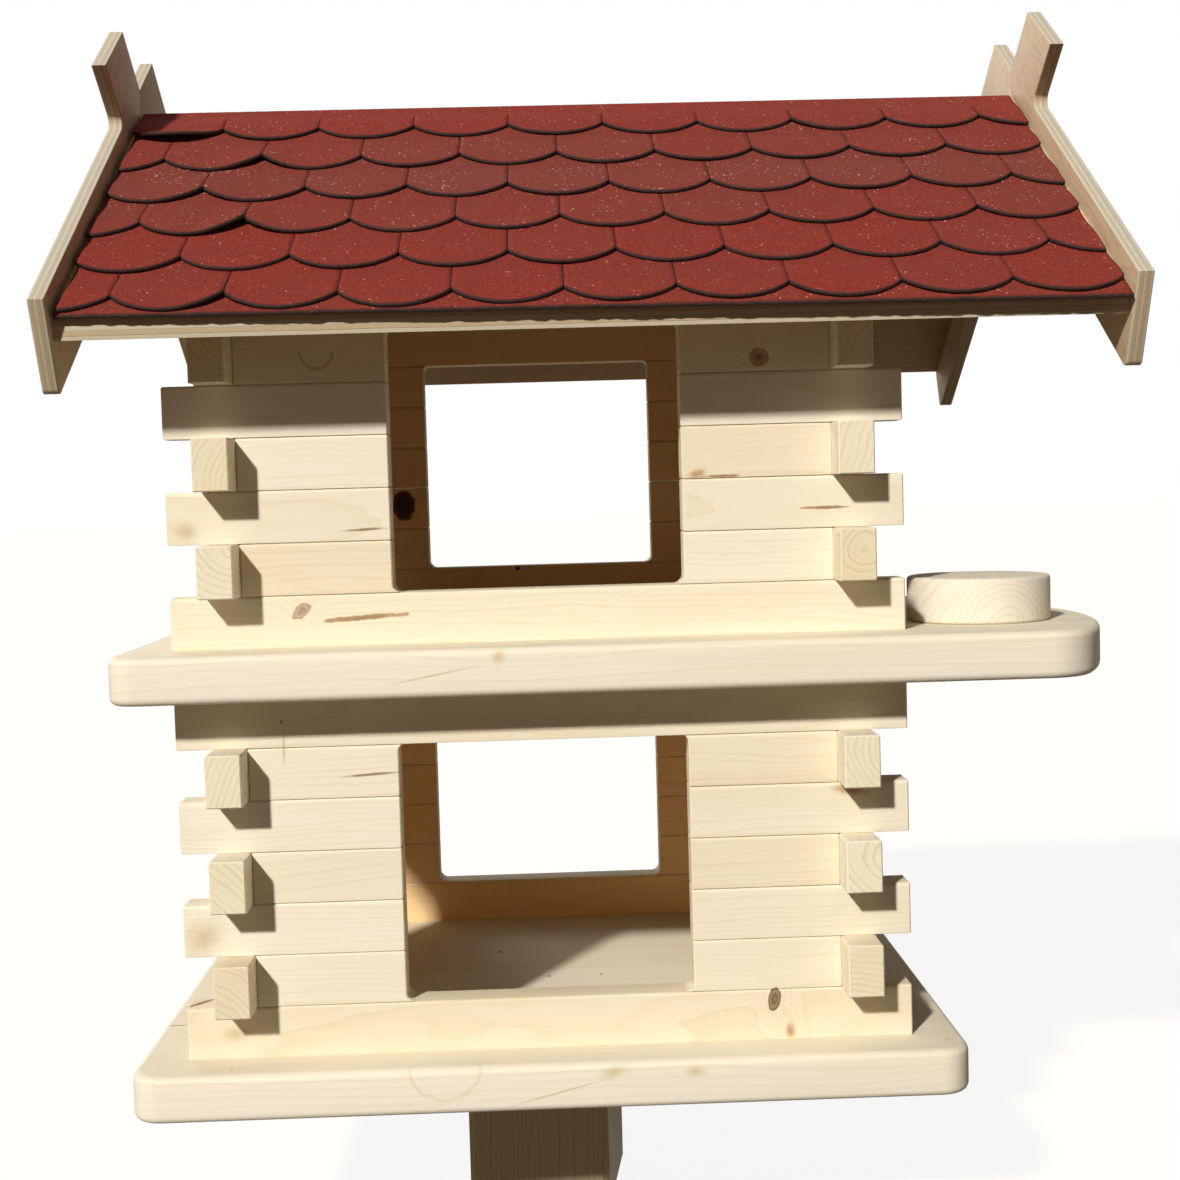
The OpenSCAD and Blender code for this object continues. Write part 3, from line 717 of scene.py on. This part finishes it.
def add_log(shape, low, high, axis, fillet=None):
    """One log with its box from low to high along the axis.

    fillet is (end, top, radius): the window's round corner at that end, at the log's top or bottom.
    """
    across = 1 - axis
    thick, height = high[across] - low[across], high.z - low.z
    middle = (high[across] + low[across]) / 2
    section = log_section(thick, height)
    pith_turn = rng.uniform(0, 2 * math.pi)
    pith_r = rng.uniform(14, 60)
    pith = (pith_r * math.cos(pith_turn), pith_r * math.sin(pith_turn))
    tilt = rng.uniform(-0.05, 0.05)
    start = rng.uniform(0, 5000)
    tone = rng.random()
    seed = Vector((rng.uniform(0, 99), 0, 0))

    def end_at(side, z):
        """Place of that end at a height z over the log's bottom."""
        flat = high[axis] if side else low[axis]
        if not fillet or fillet[0] != side:
            return flat
        r = fillet[2]
        up = height - z if fillet[1] else z
        back = math.sqrt(max(0, r * r - (r - min(up, r)) ** 2))
        return flat - back if side else flat + back

    length = high[axis] - low[axis]
    cuts = max(2, round(length / LOG_STATION))
    stations = [(0, END_ROUND, 0), (0, 0, END_ROUND)]
    stations += [(i / cuts, 0, 0) for i in range(1, cuts)]
    stations += [(1, 0, -END_ROUND), (1, END_ROUND, 0)]
    loops = []
    for share, in_by, along_by in stations:
        loop = []
        for side in (1, -1):
            order = section if side > 0 else list(reversed(section))
            for z, half in order:
                z_in = min(max(z, in_by), height - in_by)
                near, far = end_at(0, z_in), end_at(1, z_in)
                along = near + (far - near) * share + along_by
                point = Vector((0, 0, 0))
                point[axis] = along
                point[across] = middle + side * (half - in_by)
                point.z = low.z + z_in
                sway = noise.noise_vector(Vector((along * 9, low.z * 50, 0)) + seed) * LOG_SWAY
                point[across] += sway[1]
                grain = (along / MM + start,
                         (point[across] - middle) / MM + pith[0] + tilt * along / MM,
                         (point.z - low.z) / MM + pith[1])
                loop.append(shape.vert(point, grain, tone))
        loops.append(loop)
    shape.tube(loops)
    count, half = len(loops[0]), len(section)
    for loop in (loops[0], loops[-1]):
        for i in range(half - 1):
            shape.face((loop[i], loop[i + 1], loop[count - 2 - i], loop[count - 1 - i]), 1)


def log_node(node, wall, axis, end=None):
    """All the logs of one CAD node. end is the end at the window, for the short logs."""
    shape = Shape()
    boxes = islands(node)
    for i, (low, high) in enumerate(boxes):
        fillet = None
        if end is not None and i in (0, len(boxes) - 1):
            plain = boxes[1][end][axis]
            tip = (high if end else low)[axis]
            reach = abs(tip - plain)
            if reach > MM:
                fillet = (end, i > 0, reach)
        add_log(shape, low, high, axis, fillet)
    shape.piece(node + "_wood", "house", [node], "spruce_log", [SPRUCE[wall], SPRUCE_END])


for storey in ("lower", "upper"):
    for row in ("sill", "lintel"):
        for wall in ("front", "rear"):
            log_node(f"{storey}_{wall}_{row}", wall, 0)
        for wall in ("left", "right"):
            log_node(f"{storey}_{wall}_{row}", wall, 1)
    for wall in ("front", "rear"):
        log_node(f"{storey}_{wall}_left_logs", wall, 0, 1)
        log_node(f"{storey}_{wall}_right_logs", wall, 0, 0)
    for wall in ("left", "right"):
        log_node(f"{storey}_{wall}_front_logs", wall, 1, 1)
        log_node(f"{storey}_{wall}_rear_logs", wall, 1, 0)


# Boards, block and post

def board_node(node):
    """Base or balcony board, with soft arrises."""
    low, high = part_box(node)
    outline = outline_of(node, 2, low.z + PLATE_STEP)
    shape = Shape()
    prism(shape, outline, high.z - low.z, lambda a, b, d: (a, b, low.z + d),
          lambda a, b, d: (a / MM, b / MM, d / MM), PLATE_ROUND, 6, levels=2)
    shape.piece(node + "_wood", "house", [node], "spruce_board", [BOARD, BOARD], 50)


board_node("base_plate")
board_node("balcony_plate")


def perch_block():
    """Turned block with soft arrises; its grain runs front to back, with the pith under its right half."""
    middle = (block_low + block_high) / 2
    r, h = (block_high.x - block_low.x) / 2, block_high.z - block_low.z
    low = [(r - back, up) for back, up in arris(BLOCK_ROUND)]
    high = [(a, h - z) for a, z in reversed(low)]
    profile = [(r * 0.5, 0)] + low + [(r, h * 0.5)] + high + [(r * 0.5, h)]
    count = BLOCK_SIDES
    shape = Shape()

    def put(a, z, t):
        x, y = middle.x + a * math.cos(t), middle.y + a * math.sin(t)
        grain = (y / MM, (x - middle.x) / MM - 6, z / MM + 5)
        return shape.vert((x, y, block_low.z + z), grain, BLOCK_TONE)

    loops = [[put(a, z, 2 * math.pi * i / count) for i in range(count)] for a, z in profile]
    shape.tube(loops)
    for loop, z in ((loops[0], 0), (loops[-1], h)):
        hub = put(0, z, 0)
        for i in range(count):
            shape.face((loop[i], loop[(i + 1) % count], hub))
    shape.piece("perch_block_wood", "house", ["perch_block"], "spruce_board", [BLOCK])


perch_block()


def post():
    """Top of the post, sawn off at its foot."""
    low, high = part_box("post")
    shape = Shape()
    prism(shape, outline_of("post", 2, low.z), high.z - low.z, lambda a, b, d: (a, b, low.z + d),
          lambda a, b, d: (d / MM, a / MM - 14, b / MM + 40), POST_ROUND, 2, POST_TONE, 3)
    shape.piece("post_wood", "house", ["post"], "post_wood", [POST, POST])


post()
# The hidden dowels keep their CAD meshes
for node in ("lower_corner_dowels", "upper_corner_dowels", "post_dowels", "perch_dowel"):
    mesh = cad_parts[node].data
    mesh.materials.clear()
    mesh.materials.append(BATTEN)


# Roof woodwork

def gable_board(side, slope):
    """Gable board, its grain along the slope."""
    node = f"{side}_{slope}_gable_board"
    low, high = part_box(node)
    outline = outline_of(node, 0, low.x)
    way = 1 if slope == "front" else -1
    start = rng.uniform(0, 3000)
    shape = Shape()

    def grain(a, b, d):
        along = a * SLOPE_C * way + b * SLOPE_S
        across = -a * SLOPE_S * way + b * SLOPE_C
        return (along / MM + start, across / MM, d / MM)

    prism(shape, outline, high.x - low.x, lambda a, b, d: (low.x + d, a, b), grain, tone=rng.random())
    shape.piece(node + "_ply", "roof", [node], "plywood", [PLY_FACE, PLY_EDGE])


for side in ("left", "right"):
    for slope in ("front", "rear"):
        gable_board(side, slope)


DECK_FOOT_Z = panel_low.z + PANEL_T / SLOPE_C
DECK_L = -panel_low.y / SLOPE_C
DECK_MIDDLE = (panel_low.x + panel_high.x) / 2
DECK_HALF = (panel_high.x - panel_low.x) / 2


def on_slope(way, s, off):
    """Place across a roof slope: s up from the eave along the deck, off above it. way is 1 at the front."""
    y = panel_low.y + s * SLOPE_C - off * SLOPE_S
    z = DECK_FOOT_Z + s * SLOPE_S + off * SLOPE_C
    return y * way, z


def roof_panel(slope):
    """Roof panel, cut plumb at the eave and at the ridge."""
    way = 1 if slope == "front" else -1
    rise = PANEL_T / SLOPE_C
    start = rng.uniform(0, 3000)

    def place(a, b, d):
        y = panel_low.y + b * SLOPE_C
        z = panel_low.z + b * SLOPE_S + d / PANEL_T * rise
        return (a, y * way, z)

    shape = Shape()
    prism(shape, rectangle(panel_low.x, 0, panel_high.x, DECK_L), PANEL_T, place,
          lambda a, b, d: (a / MM + start, b / MM, d / PANEL_T * PLY_T / MM), PLY_ROUND, 2)
    node = slope + "_roof_panel"
    shape.piece(node + "_ply", "roof", [node], "plywood", [PLY_FACE, PLY_EDGE])


roof_panel("front")
roof_panel("rear")


def gable_panel(side):
    """Triangular panel that stands on a side wall."""
    node = side + "_gable_panel"
    low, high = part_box(node)
    shape = Shape()
    prism(shape, outline_of(node, 0, low.x), high.x - low.x, lambda a, b, d: (low.x + d, a, b),
          lambda a, b, d: (a / MM, b / MM, d / MM), GABLE_ROUND, 2, GABLE_TONE)
    shape.piece(node + "_ply", "roof", [node], "plywood", [PLY_FACE, PLY_EDGE])


gable_panel("left")
gable_panel("right")


def battens():
    """The two battens that keep the roof from sliding."""
    shape = Shape()
    for low, high in islands("locating_battens"):
        prism(shape, rectangle(low.x, low.z, high.x, high.z), high.y - low.y,
              lambda a, b, d, y=low.y: (a, y + d, b),
              lambda a, b, d: (d / MM, a / MM, b / MM + 20), BATTEN_ROUND, 2)
    shape.piece("locating_battens_wood", "roof", ["locating_battens"], "batten_wood", [BATTEN, BATTEN])


battens()


def nails():
    """Slightly domed nail heads with a short stretch of shank, at the CAD nails."""
    shape = Shape()
    count = NAIL_SIDES
    for low, high in islands("gable_board_nails"):
        outer = low.x if low.x < centre_x else high.x
        way = 1 if low.x < centre_x else -1
        middle = (low + high) / 2
        head_r = (high.z - low.z) / 2
        profile = [(0.35 * head_r, 0.05 * MM), (0.8 * head_r, 0.2 * MM), (head_r, 0.55 * MM),
                   (head_r, NAIL_HEAD_T), (NAIL_R, NAIL_HEAD_T), (NAIL_R, high.x - low.x)]

        def put(r, x, t):
            return shape.vert((outer + way * x, middle.y + r * math.cos(t), middle.z + r * math.sin(t)))

        loops = [[put(r, x, 2 * math.pi * i / count) for i in range(count)] for r, x in profile]
        shape.tube(loops)
        shape.face(tuple(loops[0]))
        shape.face(tuple(loops[-1]))
    shape.piece("gable_board_nail_heads", "roof", ["gable_board_nails"], "nail_steel", [STEEL])


nails()


# Shingles

TAB_R = (TAB_W ** 2 / 4 + TAB_SAG ** 2) / (2 * TAB_SAG)
# Tabs that stand up in the photograph, in millimetres: row (the ridge is row 5), middle of the tab from the
# centre line, side of it that stands up (0 is its middle), and how far
LIFTS = [(5, -229, 0, 5.5), (5, 205, -1, 2), (4, -198, 1, 4.5), (4, -136, -1, 4.5), (3, -229, 1, 3),
         (3, -167, -1, 3), (2, -198, 1, 7.5), (2, -136, -1, 4), (0, -198, 1, 4), (0, -136, -1, 1.5)]
# How brown and how sparkling each row is, and how far its tabs differ from that
ROW_TONE = [0.05, 0.12, 0.35, 0.7, 0.4, 0.08]
TONE_SPREAD = 0.15
# Unevenness of the tabs, in millimetres: how far they sit off their row, how ragged their edge is, and the
# height of the granules
TAB_DROP = 0.8
TAB_RAGGED = 0.5
GRIT_H = 0.12
# Distance from a cut edge, in millimetres, at which the felt carries no painted edge shade
UNSHADED_FROM = 20
TAB_CUTS = 20
COURSE_SEED = 70
# Shares of a strip's length at which its columns have points
SLOPE_STEPS = [0, 0.015, 0.04, 0.08, 0.14, 0.2, 0.3, 0.4, 0.5, 0.6, 0.7, 0.8, 0.9, 1]


def first_tab(row):
    """Middle of a row's tab number 0, from the centre line. Each row is half a tab off the one below."""
    return TAB_START + (row % 2) * TAB_W / 2


def tab_number(row, x):
    return round((x - first_tab(row)) / TAB_W)


def columns(row, x0, x1):
    """Places of a strip's columns: fine along each tab, with a pair at the two sides of every slit."""
    found = {x0, x1}
    reach = TAB_W / 2 - SLIT / 2
    for number in range(tab_number(row, x0), tab_number(row, x1) + 1):
        middle = first_tab(row) + number * TAB_W
        for i in range(TAB_CUTS + 1):
            x = middle + reach * (2 * i / TAB_CUTS - 1)
            if x0 + MM < x < x1 - MM:
                found.add(x)
    return sorted(found)


def lie(t):
    """Height of a strip's underside over the deck, a way t up from the lowest point of its tabs."""
    if t < FELT_LAP:
        return FELT_T
    if t < EXPOSURE:
        u = (t - FELT_LAP) / (EXPOSURE - FELT_LAP)
        return FELT_T * (1 - u * u * (3 - 2 * u))
    return 0


def tab_lifts(row, way, middle, wild):
    """How far a tab's left corner, middle and right corner stand up."""
    lifts = {-1: wild.uniform(0.1, 1.2) * MM, 0: wild.uniform(0, 0.7) * MM, 1: wild.uniform(0.1, 1.2) * MM}
    for lifted_row, place, side, more in LIFTS:
        if way > 0 and lifted_row == row and abs(middle - place * MM) < TAB_W / 4:
            lifts[side] += more * MM
    return lifts


def skew(x, way):
    """How far the front rows are nailed askew at x: up at the left, down at the right."""
    return -FELT_SKEW * (x + centre_x - DECK_MIDDLE) / DECK_HALF if way > 0 else 0


def strip_points(shape, row, way, xs, length, wild):
    """Grid of points of one row's strip on one slope: a column for each of xs, from the tabs' edge up."""
    foot = FELT_BACK + row * EXPOSURE - FELT_OUT
    tabs = {}
    grid = []
    for x in xs:
        number = tab_number(row, x)
        middle = first_tab(row) + number * TAB_W
        if number not in tabs:
            tone = max(0, ROW_TONE[row] + wild.uniform(-TONE_SPREAD, TONE_SPREAD))
            tabs[number] = (tab_lifts(row, way, middle, wild), tone, wild.uniform(-TAB_DROP, TAB_DROP) * MM)
        lifts, tone, drop = tabs[number]
        d = (x - middle) / (TAB_W / 2)
        lift = lifts[0] * (1 - d * d) + lifts[1 if d > 0 else -1] * abs(d) ** 1.7
        rise = TAB_R - math.sqrt(TAB_R ** 2 - min(abs(x - middle), TAB_W / 2) ** 2)
        column = []
        for share in SLOPE_STEPS:
            t = rise + (length - rise) * share
            fade = max(0, 1 - t / EXPOSURE)
            grit = noise.noise(Vector((x * 400, (foot + t) * 400, row * 7 + way)))
            ragged = noise.noise(Vector((x * 700, row * 9, way))) * TAB_RAGGED * MM * (1 - share) ** 20
            y, z = on_slope(way, foot + t + skew(x, way) + drop * fade + ragged,
                            lie(t) + FELT_T + lift * fade ** 1.6 + grit * GRIT_H * MM)
            grain = (x / MM, (foot + t) / MM, (t - rise) / MM)
            column.append(shape.vert((centre_x + x, y, z), grain, tone))
        grid.append(column)
    return grid


def strip_faces(shape, xs, grid, slit_l):
    """Faces between the columns, left out in the slits up to slit_l from the tabs' edge."""
    for i in range(len(xs) - 1):
        slit = xs[i + 1] - xs[i] < SLIT * 1.01
        for j in range(len(grid[0]) - 1):
            if slit and shape.grain[grid[i][j + 1]][2] < slit_l / MM:
                continue
            shape.face((grid[i][j], grid[i + 1][j], grid[i + 1][j + 1], grid[i][j + 1]))


def strip_ends(wild):
    """The two ends of a strip, from the centre line: cut by hand, so not quite in line."""
    left = felt_low.x - centre_x + wild.uniform(0, END_RAGGED)
    right = felt_high.x - centre_x - wild.uniform(0, END_RAGGED)
    return left, right


def felt_piece(shape, name, node):
    """The sheet's top surface as a piece, thickened downwards."""
    made = shape.piece(name, "roof", [node], "shingle", [FELT, FELT_EDGE])
    thick = made.modifiers.new("thickness", "SOLIDIFY")
    thick.thickness = FELT_T
    thick.offset = -1
    thick.material_offset_rim = 1
    thick.use_even_offset = True


def shingle_course(row):
    """One row on both slopes."""
    wild = random.Random(COURSE_SEED + row)
    shape = Shape()
    for way in (1, -1):
        xs = columns(row, *strip_ends(wild))
        grid = strip_points(shape, row, way, xs, EXPOSURE + FELT_LAP, wild)
        strip_faces(shape, xs, grid, EXPOSURE)
    felt_piece(shape, f"shingle_course_{row + 1}_felt", f"shingle_course_{row + 1}")


def ridge_course():
    """The top row: one strip bent over the ridge, with its tabs on both slopes."""
    wild = random.Random(COURSE_SEED + ROWS)
    shape = Shape()
    xs = columns(ROWS, *strip_ends(wild))
    straight = DECK_L - RIDGE_BEND - (FELT_BACK + ROWS * EXPOSURE - FELT_OUT)
    front, rear = (strip_points(shape, ROWS, way, xs, straight, wild) for way in (1, -1))
    for grid in (front, rear):
        strip_faces(shape, xs, grid, RIDGE_BEND * 2.4)
    apex = on_slope(1, DECK_L, FELT_T)[1] + RIDGE_ROLL
    bends = []
    for f, r in zip(front, rear):
        start, end = Vector(shape.points[f[-1]]), Vector(shape.points[r[-1]])
        top = Vector((start.x, 0, apex))
        bend = [f[-1]]
        for i in range(1, RIDGE_CUTS):
            u = i / RIDGE_CUTS
            point = start * (1 - u) ** 2 + top * 2 * u * (1 - u) + end * u * u
            along, up = shape.grain[f[-1]][:2]
            grain = (along, up + u * RIDGE_BEND * 2 / MM, UNSHADED_FROM)
            bend.append(shape.vert(point, grain, shape.tone[f[-1]]))
        bends.append(bend + [r[-1]])
    shape.sheet(bends)
    felt_piece(shape, "ridge_shingles_felt", "ridge_shingles")


for row in range(ROWS):
    shingle_course(row)
ridge_course()

STARTER_SEED = 3
STARTER_CUTS = 150
STARTER_BEND = 10 * MM
STARTER_TONE = 0.2
EAVE_OUT_LEFT, EAVE_OUT_RIGHT = 5.5 * MM, 12.5 * MM
EAVE_RAGGED = 0.5 * MM


def starter():
    """Straight strips under the lowest tabs, past the eave by a little more towards the right."""
    shape = Shape()
    wild = random.Random(STARTER_SEED)
    for way in (1, -1):
        grid = []
        for i in range(STARTER_CUTS + 1):
            share = i / STARTER_CUTS
            x = felt_low.x + (felt_high.x - felt_low.x) * share
            out = EAVE_OUT_LEFT + (EAVE_OUT_RIGHT - EAVE_OUT_LEFT) * share
            out += wild.uniform(-1, 1) * EAVE_RAGGED
            column = []
            for s in (-out, 0, STARTER_BEND, FELT_BACK + FELT_LAP - FELT_OUT):
                y, z = on_slope(way, s, FELT_T)
                column.append(shape.vert((x, y, z), (x / MM, s / MM, (s + out) / MM), STARTER_TONE))
            grid.append(column)
        shape.sheet(grid)
    felt_piece(shape, "starter_strips_felt", "starter_strips")


starter()


# Stage, light and camera

FILL = 0.085
FILL_COLOUR = (1.0, 0.82, 0.63, 1)
# Each lamp: strength, colour, the way its light travels, softness in degrees
LAMPS = {
    "key": (4.1, (1, 0.985, 0.96), (0.54, 1, -0.734), 3.5),
    "rear_lamp": (0.9, (1, 0.97, 0.93), (0.5, -1, -0.4), 25),
}
FLOOR_HALF = 30
FLOOR_GLOW = 0.9


def make_floor():
    """Pale floor that the camera sees as nearly white, apart from the object's shadow."""
    g = Graph("studio_floor")
    grain = g.noise(g.stretch(g.place(), (0.02, 0.02, 0.02)), 3)
    matt = g.node("BsdfDiffuse", {0: g.mix(grain, srgb(114, 101, 86), srgb(120, 107, 92))})
    glow = g.node("Emission", {1: g.times(g.direct_rays(), FLOOR_GLOW)})
    both = g.node("AddShader", {0: matt.outputs[0], 1: glow.outputs[0]})
    g.node("OutputMaterial", {0: both.outputs[0]})
    mesh = bpy.data.meshes.new("floor")
    s = FLOOR_HALF
    mesh.from_pydata([(-s, -s, 0), (s, -s, 0), (s, s, 0), (-s, s, 0)], [], [(0, 1, 2, 3)])
    mesh.materials.append(g.owner)
    floor = bpy.data.objects.new("floor", mesh)
    bpy.context.scene.collection.objects.link(floor)


def make_world():
    """White background, and a weak warm fill for the light between surfaces."""
    world = bpy.data.worlds.new("studio")
    bpy.context.scene.world = world
    g = Graph("studio", world)
    white = g.node("Background", {0: (1, 1, 1, 1)})
    fill = g.node("Background", {0: FILL_COLOUR, 1: FILL})
    both = g.node("MixShader", {0: g.direct_rays(), 1: fill.outputs[0], 2: white.outputs[0]})
    g.node("OutputWorld", {0: both.outputs[0]})


def make_lamp(name, strength, colour, travel, softness):
    """Lamp so far away that its place doesn't matter."""
    lamp = bpy.data.lights.new(name, "SUN")
    lamp.energy = strength
    lamp.angle = math.radians(softness)
    lamp.color = colour
    made = bpy.data.objects.new(name, lamp)
    made.rotation_mode = "QUATERNION"
    made.rotation_quaternion = Vector(travel).to_track_quat("-Z", "Y")
    bpy.context.scene.collection.objects.link(made)


# The photograph's camera: place in metres, angles in degrees, focal length in pixels of its frame, and the
# sensor's width in millimetres
CAMERA_PLACE = Vector((0.0126, -1.168, 0.4817))
YAW, TILT, ROLL = 1.34, -3.41, -1.62
FOCAL_PX, FRAME_PX = 1700.72, 1180
SENSOR = 36


def make_camera():
    """The camera that the photograph was taken with, as a pinhole."""
    yaw, tilt, roll = (math.radians(a) for a in (YAW, TILT, ROLL))
    ahead = Vector((math.sin(yaw) * math.cos(tilt), math.cos(yaw) * math.cos(tilt), math.sin(tilt)))
    right = Vector((math.cos(yaw), -math.sin(yaw), 0))
    up = right.cross(ahead)
    right_2 = right * math.cos(roll) + up * math.sin(roll)
    up_2 = up * math.cos(roll) - right * math.sin(roll)
    data = bpy.data.cameras.new("camera")
    data.sensor_width = SENSOR
    data.lens = FOCAL_PX / FRAME_PX * SENSOR
    data.clip_start = 0.05
    camera = bpy.data.objects.new("camera", data)
    axes = Matrix((right_2, up_2, -ahead)).transposed()
    camera.matrix_world = Matrix.Translation(CAMERA_PLACE) @ axes.to_4x4()
    bpy.context.scene.collection.objects.link(camera)
    bpy.context.scene.camera = camera


make_floor()
make_world()
for lamp_name, lamp_values in LAMPS.items():
    make_lamp(lamp_name, *lamp_values)
make_camera()
bpy.context.scene.view_settings.view_transform = "Standard"
